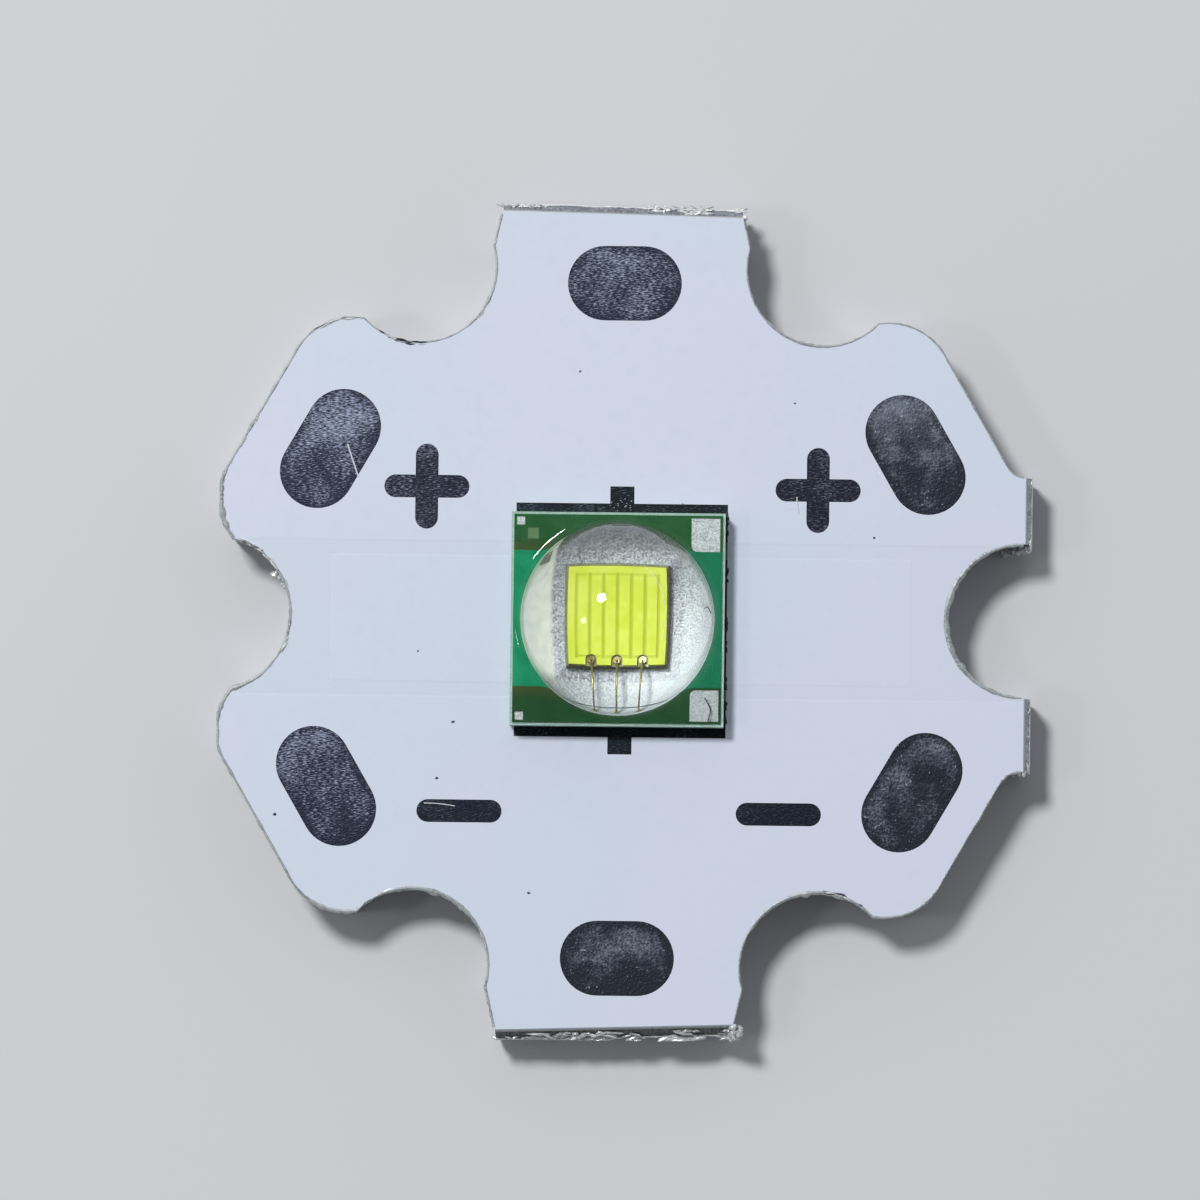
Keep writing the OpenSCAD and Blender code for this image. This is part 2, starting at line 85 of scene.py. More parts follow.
# The dome, its rounded foot and the sheet around it
DOME_R = 2.24 * MM
DOME_LIFT = 0.05 * MM
FOOT_R = 0.23 * MM
SHEET_T = 0.08 * MM
SHEET_INSET = 0.01 * MM
SHEET_BEVEL = 0.008 * MM
SHEET_SUNK = 0.004 * MM
dome_centre = green_top + DOME_LIFT
sheet_top = green_top + SHEET_T

# Where the foot ends on the sheet, and the angle from the top of the dome at which it begins
foot_rise = sheet_top + FOOT_R - dome_centre
foot_end = math.sqrt((DOME_R + FOOT_R) ** 2 - foot_rise**2)
foot_start_angle = math.atan2(foot_end, foot_rise)

# The copper that shows as faint relief through the white lacquer
SPREADER_HALF_X = 6.7 * MM
SPREADER_HALF_Y = 1.44 * MM
POLE_COPPER_Y = 1.84 * MM

# The metal bands below the green lacquer, and the faint square mark at the upper left
BAND_INNER = 1.58 * MM
BAND_OUTER = 2.44 * MM
FIRST_MARK_MIDDLE = 1.975 * MM
FIRST_MARK_HALF = 0.125 * MM

# How the photo was taken
PICTURE_WIDTH = 27.9 * MM
VIEW_DISTANCE = 300 * MM
LEAN_RIGHT = math.tan(math.radians(0.8))
LEAN_DOWN = math.tan(math.radians(3.2))
TURN = math.radians(0.65)
OFF_CENTRE_RIGHT = 0.486 * MM
OFF_CENTRE_DOWN = 0.474 * MM
SENSOR_WIDTH = 36


def srgb(red, green, blue):
    """A linear colour from its values in a picture, by the standard curve."""
    parts = []
    for value in (red, green, blue):
        share = value / 255
        parts.append(share / 12.92 if share <= 0.04045 else ((share + 0.055) / 1.055) ** 2.4)
    return (*parts, 1.0)


# Places of the colours among the sockets of a mix node
MIX_FIRST = 6
MIX_SECOND = 7
MIX_RESULT = 2


class Painter:
    """A material or a world in the making, with short ways to add the nodes that it needs."""

    def __init__(self, owner, shader, place):
        owner.use_nodes = True
        self.material = owner
        self.tree = owner.node_tree
        self.shader = self.tree.nodes[shader]
        self.place = self.add("TexCoord").outputs[place]

    def give(self, socket, value):
        """Links a socket to a socket, or sets its value."""
        if isinstance(value, bpy.types.NodeSocket):
            self.tree.links.new(value, socket)
        else:
            socket.default_value = value

    def add(self, kind, *values, **settings):
        """A new node with settings, whose first inputs get values."""
        node = self.tree.nodes.new("ShaderNode" + kind)
        for name, setting in settings.items():
            setattr(node, name, setting)
        for socket, value in zip(node.inputs, values):
            self.give(socket, value)
        return node

    def shade(self, **values):
        """Sets inputs of the shader, named with underscores for spaces."""
        for name, value in values.items():
            self.give(self.shader.inputs[name.replace("_", " ")], value)

    def sum(self, operation, result, *others):
        """Arithmetic on numbers or sockets, from the first to the last."""
        for other in others or (0.0,):
            result = self.add("Math", result, other, operation=operation).outputs[0]
        return result

    def axes(self, centre=(0, 0, 0)):
        """The three distances from a centre, as sockets."""
        shift = self.add("VectorMath", self.place, centre, operation="SUBTRACT")
        return self.add("SeparateXYZ", shift.outputs[0]).outputs

    def grain(self, size, detail=2.0, stretch=(1, 1, 1)):
        """Noise between 0 and 1 with spots of a size, stretched along the axes."""
        density = [1 / (size * factor) for factor in stretch]
        scaled = self.add("VectorMath", self.place, density, operation="MULTIPLY")
        node = self.add("TexNoise", scaled.outputs[0])
        node.inputs["Scale"].default_value = 1.0
        node.inputs["Detail"].default_value = detail
        return node.outputs["Fac"]

    def fit(self, value, start=0.0, end=1.0, low=0.0, high=1.0, smooth=True):
        """Maps a value from start and end to low and high."""
        way = "SMOOTHSTEP" if smooth else "LINEAR"
        return self.add("MapRange", value, start, end, low, high, interpolation_type=way).outputs["Result"]

    def mix(self, share, first, second):
        """A colour between two colours."""
        node = self.add("Mix", share, data_type="RGBA")
        self.give(node.inputs[MIX_FIRST], first)
        self.give(node.inputs[MIX_SECOND], second)
        return node.outputs[MIX_RESULT]

    def bump(self, height, depth):
        """Raises the surface by a height between 0 and 1 times a depth."""
        node = self.add("Bump")
        node.inputs["Distance"].default_value = depth
        self.give(node.inputs["Height"], height)
        self.give(self.shader.inputs["Normal"], node.outputs["Normal"])


def new_paint(name):
    """A painter for a new material."""
    return Painter(bpy.data.materials.new(name), "Principled BSDF", "Object")


# Surfaces

# The values between which most of a noise lies
NOISE_SPAN = (0.3, 0.7)


def white_lacquer():
    """Satin white lacquer, a little blue, with the copper's edges as faint relief."""
    paint = new_paint("white lacquer")
    x, y, _ = paint.axes()
    across = paint.sum("ABSOLUTE", x)
    up = paint.sum("ABSOLUTE", y)
    soft = 0.06 * MM
    spreader = paint.sum(
        "MULTIPLY",
        paint.fit(across, SPREADER_HALF_X + soft, SPREADER_HALF_X),
        paint.fit(up, SPREADER_HALF_Y + soft, SPREADER_HALF_Y),
    )
    raised = paint.sum("MAXIMUM", spreader, paint.fit(up, POLE_COPPER_Y - soft, POLE_COPPER_Y))
    clouds = paint.grain(5 * MM, detail=1.0)
    mottle = paint.grain(0.3 * MM, detail=3.0)
    peel = paint.grain(0.12 * MM, detail=1.0)
    peel_share = 0.12
    tint = paint.mix(paint.fit(clouds, 0.35, 0.65), srgb(213, 223, 238), srgb(217, 222, 241))
    tint = paint.mix(paint.fit(mottle, 0.3, 0.75, high=0.5), tint, srgb(208, 217, 232))
    tint = paint.mix(paint.fit(raised, low=0.12, high=0.0), tint, srgb(196, 204, 219))
    paint.shade(Base_Color=tint, Roughness=paint.fit(mottle, *NOISE_SPAN, low=0.36, high=0.52))
    height = paint.sum("ADD", raised, paint.sum("MULTIPLY", peel, peel_share))
    paint.bump(height, depth=0.0025 * MM)
    return paint.material


# How far the painted shade along the rim of a pad reaches into it, and the tone that a scuffed and a cloudy
# pad lose there
PAD_RIM = 0.22 * MM
SCUFFED_RIM_FALL = 0.09
CLOUDY_RIM_FALL = 0.4


def tin_name(pad):
    """Name of the material on a pad."""
    return pad.replace("_", " ") + " tin"


def depth_in_pad(paint, x, y, size, lean):
    """How far a place lies inside the rounded outline of a pad, from the size of its box and its lean."""
    level = math.cos(math.radians(lean))
    steep = math.sin(math.radians(lean))
    straight = (size.y - size.x) / (abs(steep) - abs(level))
    radius = (size.x - straight * abs(level)) / 2
    along = paint.sum("ADD", paint.sum("MULTIPLY", x, level), paint.sum("MULTIPLY", y, steep))
    aside = paint.sum("SUBTRACT", paint.sum("MULTIPLY", y, level), paint.sum("MULTIPLY", x, steep))
    past = paint.sum("SUBTRACT", paint.sum("ABSOLUTE", along), straight / 2)
    past = paint.sum("MAXIMUM", past, 0.0)
    squares = paint.sum("ADD", paint.sum("MULTIPLY", past, past), paint.sum("MULTIPLY", aside, aside))
    return paint.sum("SUBTRACT", radius, paint.sum("SQRT", squares))


def pad_shading(paint, pad, lean, gains, fall):
    """The painted light and shade on a pad: what its tone gains at its bottom and at its top, less the
    painted shade along its rim.
    """
    low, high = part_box(pad)
    x, y, _ = paint.axes((low + high) / 2)
    half = (high.y - low.y) / 2
    top_from = 0.6 * half
    # Painted light that makes a pad lighter towards its top, and painted shade along its rim
    upper = paint.fit(y, -half, top_from, *gains, smooth=False)
    rim = paint.fit(depth_in_pad(paint, x, y, high - low, lean), 0.0, PAD_RIM, low=-fall, high=0.0)
    return paint.sum("ADD", upper, rim)


def speckled_tin(name, dark, light, bareness, pad=None, lean=0, gains=(0, 0)):
    """Dull tin, scuffed bright in short level strokes that gather in clouds, with painted shade that
    darkens it towards the lower right.
    """
    paint = new_paint(name)
    x, y, _ = paint.axes()
    board_half = 9 * MM
    painted_falloff = 0.03
    patchiness = 0.07
    dull = 0.5 - bareness
    bare = 0.84 - bareness
    clouds = paint.grain(0.75 * MM)
    strokes = paint.grain(0.023 * MM, stretch=(4, 1, 1))
    patches = paint.fit(clouds, *NOISE_SPAN, low=-patchiness, high=patchiness, smooth=False)
    # Painted shade: the tin's tone falls off towards the lower right, away from the light at the upper
    # left.
    to_lower_right = paint.sum("SUBTRACT", x, y)
    away = paint.fit(to_lower_right, -board_half, board_half, low=painted_falloff, high=-painted_falloff, smooth=False)
    tone = paint.sum("ADD", strokes, patches, away)
    if pad:
        tone = paint.sum("ADD", tone, pad_shading(paint, pad, lean, gains, SCUFFED_RIM_FALL))
    shown = paint.fit(tone, dull, bare, smooth=False)
    paint.shade(
        Base_Color=paint.mix(shown, dark, light),
        Metallic=1.0,
        Roughness=paint.fit(shown, low=0.36, high=0.5),
    )
    paint.bump(strokes, depth=0.006 * MM)
    return paint.material


def clouded_tin(dark, light, glint, pad, lean, gains):
    """Dull tin with soft light clouds, with painted shade that darkens it towards the bottom, and a few
    bright specks.
    """
    paint = new_paint(tin_name(pad))
    clouds = paint.grain(0.8 * MM, detail=4.0)
    specks = paint.grain(0.05 * MM, detail=1.0)
    streaks = paint.grain(0.05 * MM, stretch=(5, 1, 1))
    cloudy = paint.fit(clouds, 0.26, 0.76)
    cloudy = paint.sum("MULTIPLY", cloudy, paint.fit(specks, 0.3, 0.65, low=0.45))
    bright = paint.fit(streaks, 0.5, 0.8, high=0.3)
    cloudy = paint.sum("ADD", cloudy, bright, pad_shading(paint, pad, lean, gains, CLOUDY_RIM_FALL))
    tint = paint.mix(cloudy, dark, light)
    tint = paint.mix(paint.fit(specks, 0.72, 0.78, high=0.8), tint, glint)
    paint.shade(Base_Color=tint, Metallic=1.0, Roughness=paint.fit(cloudy, low=0.34, high=0.52))
    paint.bump(specks, depth=0.005 * MM)
    return paint.material


# Plain metals: two tones, roughness, size and depth of the grain in millimetres, and how metallic
METALS = {
    "copper": ((96, 66, 52), (66, 46, 38), 0.35, 0.2, 0.004, 1.0),
    "solder": ((190, 192, 196), (140, 142, 148), 0.38, 0.1, 0.004, 1.0),
    "gold land": ((222, 186, 110), (190, 150, 84), 0.3, 0.1, 0.004, 1.0),
    "gold wire": ((182, 172, 116), (88, 82, 50), 0.32, 0.04, 0.001, 1.0),
    "rolled aluminium": ((184, 190, 192), (112, 118, 122), 0.42, 0.05, 0.004, 0.3),
    "torn aluminium": ((240, 242, 242), (176, 180, 182), 0.34, 0.03, 0.004, 0.35),
    "dull aluminium": ((96, 100, 110), (64, 68, 76), 0.4, 0.03, 0.004, 1.0),
}
# Other plain materials: two tones, roughness and size of the grain in millimetres
SOLIDS = {
    "insulation": ((186, 190, 188), (158, 162, 160), 0.6, 0.08),
    "ceramic": ((168, 196, 186), (146, 178, 168), 0.5, 0.05),
    "chip": ((134, 136, 86), (104, 106, 70), 0.4, 0.05),
    "dark chip": ((84, 86, 74), (122, 124, 112), 0.4, 0.03),
    "dark dirt": ((34, 36, 42), (58, 60, 66), 0.5, 0.03),
    "light dust": ((240, 242, 242), (214, 218, 220), 0.5, 0.03),
}


def plain_metal(name):
    """Metal whose tone, shine and surface vary with one grain."""
    tone, worn, roughness, size, depth, metallic = METALS[name]
    paint = new_paint(name)
    grain = paint.grain(size * MM, detail=4.0)
    cloud_scale = 9
    clouds = paint.grain(size * MM * cloud_scale)
    share = paint.sum("MULTIPLY", paint.fit(grain, 0.35, 0.65), paint.fit(clouds, 0.2, 0.8))
    paint.shade(
        Base_Color=paint.mix(share, srgb(*tone), srgb(*worn)),
        Metallic=metallic,
        Roughness=paint.fit(grain, *NOISE_SPAN, low=roughness - 0.1, high=roughness + 0.12),
    )
    paint.bump(grain, depth * MM)
    return paint.material


def plain_solid(name):
    """Another material, whose tone, shine and surface vary with one grain."""
    tone, worn, roughness, size = SOLIDS[name]
    paint = new_paint(name)
    grain = paint.grain(size * MM, detail=3.0)
    paint.shade(
        Base_Color=paint.mix(paint.fit(grain, *NOISE_SPAN), srgb(*tone), srgb(*worn)),
        Roughness=paint.fit(grain, *NOISE_SPAN, low=roughness - 0.08, high=roughness + 0.1),
    )
    paint.bump(grain, depth=0.004 * MM)
    return paint.material


def cut_aluminium():
    """Aluminium with upright streaks from the cut, with a painted dark reflection on the score at the
    bottom of the board.
    """
    paint = new_paint("cut aluminium")
    _, y, z = paint.axes()
    soft = 0.08 * MM
    streaks = paint.grain(0.05 * MM, detail=4.0, stretch=(1, 1, 8))
    clouds = paint.grain(0.4 * MM)
    web_top = board_top - SCORE_DEPTH
    # Painted dark reflection: the flank of the score at the bottom is darkened near the board's end.
    reflection_from = core_low.y + 0.45 * MM
    reflection_full = core_low.y + 0.35 * MM
    near_end = paint.fit(y, reflection_from, reflection_full)
    dark_reflection = paint.sum("MULTIPLY", near_end, paint.fit(z, web_top - soft, web_top))
    streaky = paint.fit(streaks, *NOISE_SPAN)
    tint = paint.mix(streaky, srgb(186, 190, 198), srgb(136, 140, 150))
    tint = paint.mix(paint.fit(clouds, 0.4, 0.7, high=0.4), tint, srgb(120, 124, 134))
    # The tone of the painted dark reflection
    dark = paint.mix(streaky, srgb(88, 92, 92), srgb(56, 62, 60))
    paint.shade(
        Base_Color=paint.mix(dark_reflection, tint, dark),
        Metallic=1.0,
        Roughness=paint.fit(streaks, *NOISE_SPAN, low=0.32, high=0.54),
    )
    paint.bump(streaks, depth=0.003 * MM)
    return paint.material


def green_lacquer():
    """Glossy green lacquer, darker and browner over the metal bands, with a painted shadow of the dome that
    darkens it towards the right.
    """
    paint = new_paint("green lacquer")
    x, y, _ = paint.axes(package)
    up = paint.sum("ABSOLUTE", y)
    across = paint.sum("ABSOLUTE", x)
    soft = 0.015 * MM
    band = paint.sum(
        "MULTIPLY",
        paint.fit(up, BAND_INNER - soft, BAND_INNER + soft),
        paint.fit(up, BAND_OUTER + soft, BAND_OUTER - soft),
        paint.fit(across, BAND_OUTER + soft, BAND_OUTER - soft),
    )
    from_mark_x = paint.sum("ABSOLUTE", paint.sum("ADD", x, FIRST_MARK_MIDDLE))
    from_mark_y = paint.sum("ABSOLUTE", paint.sum("SUBTRACT", y, FIRST_MARK_MIDDLE))
    from_mark = paint.sum("MAXIMUM", from_mark_x, from_mark_y)
    mark = paint.fit(from_mark, FIRST_MARK_HALF + soft, FIRST_MARK_HALF - soft)
    clouds = paint.grain(0.5 * MM)
    bright = paint.mix(paint.fit(clouds, *NOISE_SPAN), srgb(2, 122, 82), srgb(8, 136, 95))
    # Painted shadow of the dome: the lacquer darkens towards the right.
    bright = paint.mix(paint.fit(x, -1 * MM, 2.4 * MM, high=0.8), bright, srgb(2, 100, 70))
    dull = paint.mix(paint.fit(clouds, 0.2, 0.8), srgb(25, 79, 38), srgb(33, 86, 46))
    dull = paint.mix(paint.fit(y, 1.5 * MM, -2 * MM, high=0.7), dull, srgb(10, 56, 24))
    brown_reach = 0.4 * MM
    brown = paint.sum(
        "MULTIPLY",
        paint.fit(up, BAND_INNER + brown_reach, BAND_INNER, high=0.6),
        paint.fit(x, -0.9 * MM, -1.5 * MM),
    )
    dull = paint.mix(brown, dull, srgb(66, 72, 34))
    tint = paint.mix(band, bright, dull)
    tint = paint.mix(mark, tint, srgb(92, 122, 84))
    roughness = paint.fit(clouds, *NOISE_SPAN, low=0.3, high=0.45)
    paint.shade(Base_Color=tint, Specular_IOR_Level=0.1, Roughness=roughness)
    paint.bump(paint.grain(0.08 * MM), depth=0.003 * MM)
    return paint.material


# Left of this line, and between these values of y, the silver below the dome is smooth
SMOOTH_FROM_X = -1.06 * MM
SMOOTH_FROM_Y = -0.8 * MM
SMOOTH_GONE_Y = -1.3 * MM
SMOOTH_TO_Y = 1.75 * MM


def grainy_silver(name, dark, light):
    """Silvered metal: grainy, with a painted dark reflection behind the chip and painted shade towards the
    lower right, but smooth and cream at the left.
    """
    paint = new_paint(name)
    x, y, _ = paint.axes(package)
    across = paint.sum("ABSOLUTE", x)
    soft = 0.05 * MM
    smooth_side = paint.sum(
        "MULTIPLY",
        paint.fit(x, SMOOTH_FROM_X + soft, SMOOTH_FROM_X - soft),
        paint.fit(y, SMOOTH_GONE_Y, SMOOTH_FROM_Y),
        paint.fit(y, SMOOTH_TO_Y, SMOOTH_TO_Y - soft),
    )
    fine = paint.grain(0.035 * MM, detail=3.0)
    coarse = paint.grain(0.2 * MM)
    rough = paint.sum("ADD", paint.sum("MULTIPLY", fine, 0.8), paint.sum("MULTIPLY", coarse, 0.2))
    grainy = paint.fit(rough, 0.34, 0.66)
    tone = paint.mix(grainy, dark, light)
    # Painted dark reflection: the silver behind the chip is darker.
    back = paint.sum(
        "MULTIPLY",
        paint.fit(y, 0.8 * MM, 1.6 * MM, high=0.8),
        paint.fit(across, 1.7 * MM, 1.2 * MM),
    )
    tone = paint.mix(back, tone, paint.mix(grainy, srgb(76, 83, 79), srgb(124, 132, 127)))
    # Painted shade towards the lower right, which tones down the lamp's glare.
    lower_right_shade = paint.fit(paint.sum("SUBTRACT", x, y), 0.8 * MM, 2.4 * MM, high=0.4)
    tone = paint.mix(lower_right_shade, tone, srgb(134, 141, 145))
    cream = paint.mix(paint.fit(coarse, *NOISE_SPAN), srgb(213, 221, 210), srgb(226, 232, 219))
    paint.shade(
        Base_Color=paint.mix(smooth_side, tone, cream),
        Metallic=paint.fit(smooth_side, low=0.9, high=0.55),
        Roughness=paint.fit(rough, *NOISE_SPAN, low=0.46, high=0.62),
    )
    calm = paint.fit(smooth_side, low=1.0, high=0.1)
    uneven = paint.sum("SUBTRACT", rough, 0.5)
    paint.bump(paint.sum("MULTIPLY", uneven, calm), depth=0.009 * MM)
    return paint.material


# Grooves of the phosphor: how many, how far they stay from its sides, and how far they fade out
GROOVES = 7
GROOVE_INSET = 0.16 * MM
GROOVE_SOFT = 0.055 * MM


def phosphor():
    """Yellow-green coat, softly darker along its grooves."""
    paint = new_paint("phosphor")
    x, y, _ = paint.axes((coat_low + coat_high) / 2)
    across = paint.sum("ABSOLUTE", x)
    up = paint.sum("ABSOLUTE", y)
    field = die_high.x - die_low.x - 2 * GROOVE_INSET
    pitch = field / (GROOVES - 1)
    from_line = paint.sum("PINGPONG", paint.sum("ADD", x, field / 2), pitch / 2)
    upright = paint.fit(from_line, GROOVE_SOFT, 0.0)
    inside = paint.fit(paint.sum("MAXIMUM", across, up), field / 2 + GROOVE_SOFT, field / 2)
    from_end = paint.sum("ABSOLUTE", paint.sum("SUBTRACT", up, field / 2))
    level = paint.sum("MULTIPLY", paint.fit(from_end, GROOVE_SOFT, 0.0, high=0.5), inside)
    lines = paint.sum("MAXIMUM", paint.sum("MULTIPLY", upright, inside), level)
    clouds = paint.grain(0.4 * MM)
    dust = paint.grain(0.03 * MM)
    tint = paint.mix(paint.fit(clouds, *NOISE_SPAN), srgb(196, 212, 62), srgb(206, 219, 88))
    tint = paint.mix(paint.fit(lines, high=0.7), tint, srgb(160, 176, 36))
    roughness = paint.fit(dust, *NOISE_SPAN, low=0.55, high=0.75)
    paint.shade(Base_Color=tint, Specular_IOR_Level=0.2, Roughness=roughness)
    paint.bump(dust, depth=0.003 * MM)
    return paint.material


def silicone():
    """Clear silicone with a barely uneven skin."""
    paint = new_paint("silicone")
    skin = paint.grain(0.7 * MM, detail=1.0)
    paint.shade(
        Base_Color=srgb(252, 255, 252),
        Transmission_Weight=1.0,
        IOR=1.47,
        Roughness=paint.fit(skin, *NOISE_SPAN, high=0.02),
    )
    paint.bump(skin, depth=0.00005 * MM)
    return paint.material


# Meshes


def put(name, data):
    """A new object in the scene."""
    thing = bpy.data.objects.new(name, data)
    bpy.context.scene.collection.objects.link(thing)
    return thing


def piece(name, verts, faces, material, smooth_angle):
    """A mesh that belongs to the object, smooth where it bends by less than an angle in degrees."""
    mesh = bpy.data.meshes.new(name)
    mesh.from_pydata(verts, [], faces)
    mesh.update()
    mesh.materials.append(material)
    mesh.polygons.foreach_set("use_smooth", [True] * len(mesh.polygons))
    mesh.set_sharp_from_angle(angle=math.radians(smooth_angle))
    thing = put(name, mesh)
    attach(thing, "root")
    return thing


def bands(rings, sides, first=0, upward=False):
    """Faces between closed rings of points, each below the last or, upward, above it."""
    faces = []
    for ring in range(rings - 1):
        for side in range(sides):
            a = first + ring * sides + side
            b = first + ring * sides + (side + 1) % sides
            faces.append((a, b, b + sides, a + sides) if upward else (a, a + sides, b + sides, b))
    return faces


def outline_of(node):
    """The outer loop of a node's top face, anticlockwise, as points in plan."""
    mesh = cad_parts[node].data
    level = max(vert.co.z for vert in mesh.vertices)
    slack = 1e-7
    digits = 8
    key = {vert.index: tuple(round(way, digits) for way in vert.co[:2]) for vert in mesh.vertices}
    sides = set()
    for face in mesh.polygons:
        if all(abs(mesh.vertices[corner].co.z - level) < slack for corner in face.vertices):
            ring = [key[corner] for corner in face.vertices]
            sides.update(zip(ring, ring[1:] + ring[:1]))
    following = {start: end for start, end in sides if (end, start) not in sides}
    loops = []
    while following:
        start = next(iter(following))
        loop = []
        while start in following:
            loop.append(Vector(start))
            start = following.pop(start)
        loops.append(loop)
    loop = max(loops, key=len)
    area = sum(a.x * b.y - b.x * a.y for a, b in zip(loop, loop[1:] + loop[:1]))
    return loop if area > 0 else loop[::-1]


def finer(loop, step):
    """The loop with points no further apart than a step."""
    points = []
    for start, end in zip(loop, loop[1:] + loop[:1]):
        run = end - start
        count = max(1, math.ceil(run.length / step))
        for place in range(count):
            points.append(start + run * place / count)
    return points


# The ways in which edges were snapped off
TOP = Vector((0, 1))
BOTTOM = Vector((0, -1))
RIGHT = Vector((1, 0))
# How near to the end of the board a snapped edge lies, and how near to it other points are left out
SNAP_REACH = 0.35 * MM
SNAP_CORNER = 0.1 * MM


def snapped_side(start, end):
    """Which way a straight bit of the outline was snapped off, or None."""
    run = end - start
    straightness = 3
    if abs(run.x) > straightness * abs(run.y):
        if min(start.y, end.y) > core_high.y - SNAP_REACH:
            return TOP
        if max(start.y, end.y) < core_low.y + SNAP_REACH:
            return BOTTOM
    if abs(run.y) > straightness * abs(run.x) and min(start.x, end.x) > core_high.x - SNAP_REACH:
        return RIGHT
    return None


def board_edge():
    """The board's outline: each point with the way out there and the side it was snapped off, if any."""
    loop = finer(outline_of("core_plate"), step=0.06 * MM)
    marked = []
    for place, point in enumerate(loop):
        before = loop[place - 1]
        after = loop[(place + 1) % len(loop)]
        run = (after - before).normalized()
        side = snapped_side(before, point) or snapped_side(point, after)
        marked.append((point, Vector((run.y, -run.x)), side))
    snapped = [point for point, _, side in marked if side]
    return [
        (point, out, side)
        for point, out, side in marked
        if side or min((point - other).length for other in snapped) > SNAP_CORNER
    ]


edge = board_edge()


def score_depth(side):
    """Depth of the score along a snapped edge."""
    return SIDE_SCORE_DEPTH if side.x else SCORE_DEPTH


def flank_reach(level, depth):
    """How far the side of a score has come out at a level."""
    return FLANK_SLOPE * min(level, board_top - level, depth)


def snapped_shift(spot, side):
    """How far a snapped wall stands off the outline at a spot, with the torn web between its scores."""
    web_roughness = 0.06 * MM
    web_marks = 7 / MM
    score_roughness = 0.003 * MM
    score_marks = 30 / MM
    depth = score_depth(side)
    margin = 0.98 * depth
    if margin < spot.z < board_top - margin:
        torn = abs(noise.turbulence(spot * web_marks, 3, False)) * web_roughness
    else:
        torn = abs(noise.noise(spot * score_marks)) * score_roughness
    return side * (flank_reach(spot.z, depth) - flank_reach(core_high.z, depth) - torn)


def punched_shift(spot, out):
    """How far a punched wall stands off the outline at a spot, with streaks and a rolled bottom edge."""
    streaks_along = 14 / MM
    streaks_up = 1.2 / MM
    streak_depth = 0.012 * MM
    roll = 0.03 * MM
    place = Vector((spot.x * streaks_along, spot.y * streaks_along, spot.z * streaks_up))
    return -out * (abs(noise.noise(place)) * streak_depth + (roll if spot.z == 0 else 0.0))


def torn_core():
    """The aluminium core, with streaked walls and a rough break along the snapped edges."""
    count = len(edge)
    steps = 26
    verts = []
    for step in range(steps + 1):
        z = core_high.z * step / steps
        for point, out, side in edge:
            spot = Vector((point.x, point.y, z))
            shift = snapped_shift(spot, side) if side else punched_shift(spot, out)
            verts.append((point.x + shift.x, point.y + shift.y, z))
    top = steps * count
    faces = [tuple(reversed(range(count))), tuple(range(top, top + count))]
    faces += bands(steps + 1, count, upward=True)
    core = piece("torn_core", verts, faces, cut_aluminium(), smooth_angle=35)
    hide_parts("core_plate")


def lens_profile():
    """Radius and height of the dome from its top down to the sheet."""
    dome_steps = 56
    foot_steps = 12
    profile = []
    for step in range(1, dome_steps + 1):
        angle = foot_start_angle * step / dome_steps
        profile.append((DOME_R * math.sin(angle), dome_centre + DOME_R * math.cos(angle)))
    for step in range(1, foot_steps + 1):
        angle = foot_start_angle * (1 - step / foot_steps)
        height = sheet_top + FOOT_R - FOOT_R * math.cos(angle)
        profile.append((foot_end - FOOT_R * math.sin(angle), height))
    return profile


def clear_lens():
    """The silicone dome with its square sheet, down into the ceramic so that no air is left inside."""
    spokes = 256
    half = package_half - SHEET_INSET
    rings = [(radius, True, height) for radius, height in lens_profile()]
    rings += [
        (half - SHEET_BEVEL, False, sheet_top),
        (half, False, sheet_top - SHEET_BEVEL),
        (half, False, body_high.z - SHEET_SUNK),
    ]
    verts = [(package.x, package.y, dome_centre + DOME_R)]
    for reach, is_round, height in rings:
        for spoke in range(spokes):
            angle = 2 * math.pi * spoke / spokes
            across = math.cos(angle)
            up = math.sin(angle)
            far = reach if is_round else reach / max(abs(across), abs(up))
            verts.append((package.x + far * across, package.y + far * up, height))
    faces = [(0, 1 + spoke, 1 + (spoke + 1) % spokes) for spoke in range(spokes)]
    faces += bands(len(rings), spokes, first=1)
    faces.append(tuple(reversed(range(len(verts) - spokes, len(verts)))))
    lens = piece("clear_lens", verts, faces, silicone(), smooth_angle=30)
    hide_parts("dome_lens")
    lens.visible_shadow = False


def soft_solder():
    """The solder below the chip, sunk a little into the silver, which thins out to an uneven edge."""
    cells = 90
    thinning = 0.25 * MM
    rag_depth = 0.07 * MM
    rag_size = 0.12 * MM
    sunk = 0.002 * MM
    half = (solder_high.x - solder_low.x) / 2
    middle = (solder_low + solder_high) / 2
    bottom = solder_low.z - sunk
    verts = []
    for row in range(cells + 1):
        for column in range(cells + 1):
            x = half * (2 * column / cells - 1)
            y = half * (2 * row / cells - 1)
            rag = abs(noise.noise(Vector((x, y, 0)) / rag_size)) * rag_depth
            inside = half - max(abs(x), abs(y)) - rag
            share = min(1.0, max(0.0, inside / thinning))
            verts.append((middle.x + x, middle.y + y, bottom + (solder_high.z - bottom) * share))
    faces = []
    for row in range(cells):
        for column in range(cells):
            a = row * (cells + 1) + column
            b = a + cells + 1
            faces.append((a, a + 1, b + 1, b))
    material = grainy_silver("chip solder", srgb(120, 125, 130), srgb(180, 186, 190))
    solder = piece("soft_solder", verts, faces, material, smooth_angle=60)
    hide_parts("die_attach")


def into_box(points):
    """Points moved together until they lie in the box of the solids."""
    push = Vector([
        max(0, low - min(values)) - max(0, max(values) - high)
        for values, low, high in zip(zip(*points), cad_low, cad_high)
    ])
    return [point + push for point in points]


